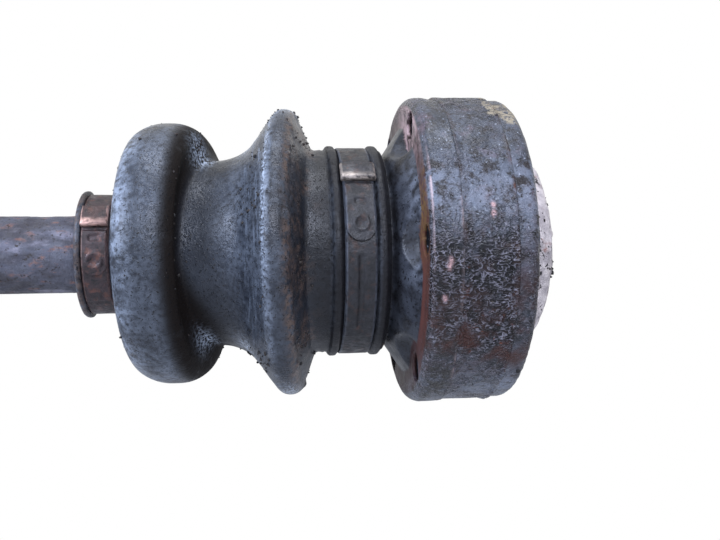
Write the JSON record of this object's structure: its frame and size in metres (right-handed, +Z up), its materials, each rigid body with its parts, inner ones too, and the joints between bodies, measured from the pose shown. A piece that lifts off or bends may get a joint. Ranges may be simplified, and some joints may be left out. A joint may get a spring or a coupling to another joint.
{
  "type": "axle shaft",
  "caption": "Drive axle half-shaft: solid bar with splined far end, rubber boot with clamps, and a bolted plunging ball joint with sheet cover and domed grease cap.",
  "frame": {"origin": "centre of the bolting face, on the shaft's axis", "axes": "+X along the shaft, out of the bolting face; +Z up"},
  "size_m": [0.3996, 0.1098, 0.1098],
  "materials": {
    "bar_rust": "dark rolled steel with brown rust",
    "race_rust": "pitted dark rust with remains of paint",
    "cover_sheet": "pressed steel sheet, dull and rusty",
    "cap_sheet": "pressed steel sheet, dull and rusty",
    "boot_rubber": "black moulded rubber, dusty",
    "strap_steel": "steel strap, browned by rust",
    "buckle_steel": "steel buckle, coppery brown",
    "joint_steel": "ground steel",
    "ball_steel": "polished ball-bearing steel",
    "spring_steel": "blued spring steel"
  },
  "bodies": {
    "joint_housing": {"outer_race": "race_rust", "boot_cover": "cover_sheet", "grease_cap": "cap_sheet", "large_clamp_strap": "strap_steel", "large_clamp_buckle": "buckle_steel"},
    "boot": {"boot": "boot_rubber"},
    "upper_ball": {"ball_1": "ball_steel"},
    "ball_cage": {"cage": "joint_steel", "ball_2": "ball_steel", "ball_3": "ball_steel", "ball_5": "ball_steel", "ball_6": "ball_steel"},
    "lower_ball": {"ball_4": "ball_steel"},
    "axle": {"axle_bar": "bar_rust", "inner_race": "joint_steel", "circlip": "spring_steel", "dished_washer": "spring_steel", "small_clamp_strap": "strap_steel", "small_clamp_buckle": "buckle_steel"}
  },
  "joints": [
    {"name": "plunge", "type": "slide", "parent": "joint_housing", "child": "boot", "axis": [1, 0, 0], "range_m": [-0.005, 0.005], "deforming": ["boot"]},
    {"name": "bend_up", "type": "hinge", "parent": "boot", "child": "upper_ball", "pos_m": [-0.0176, 0, 0], "axis": [0, 1, 0], "range_deg": [-5, 5], "deforming": ["boot"]},
    {"name": "bend_side", "type": "hinge", "parent": "upper_ball", "child": "ball_cage", "pos_m": [-0.0176, 0, 0], "axis": [0, 0, 1], "range_deg": [-5, 5], "deforming": ["boot"]},
    {"name": "bend_side_inner", "type": "hinge", "parent": "ball_cage", "child": "lower_ball", "pos_m": [-0.0176, 0, 0], "axis": [0, 0, 1], "range_deg": [-5, 5], "deforming": ["boot"]},
    {"name": "bend_up_inner", "type": "hinge", "parent": "lower_ball", "child": "axle", "pos_m": [-0.0176, 0, 0], "axis": [0, 1, 0], "range_deg": [-5, 5], "deforming": ["boot"]}
  ],
  "couplings": [
    {"joint": "bend_side_inner", "follows": "bend_side", "ratio": 1},
    {"joint": "bend_up_inner", "follows": "bend_up", "ratio": 1}
  ]
}
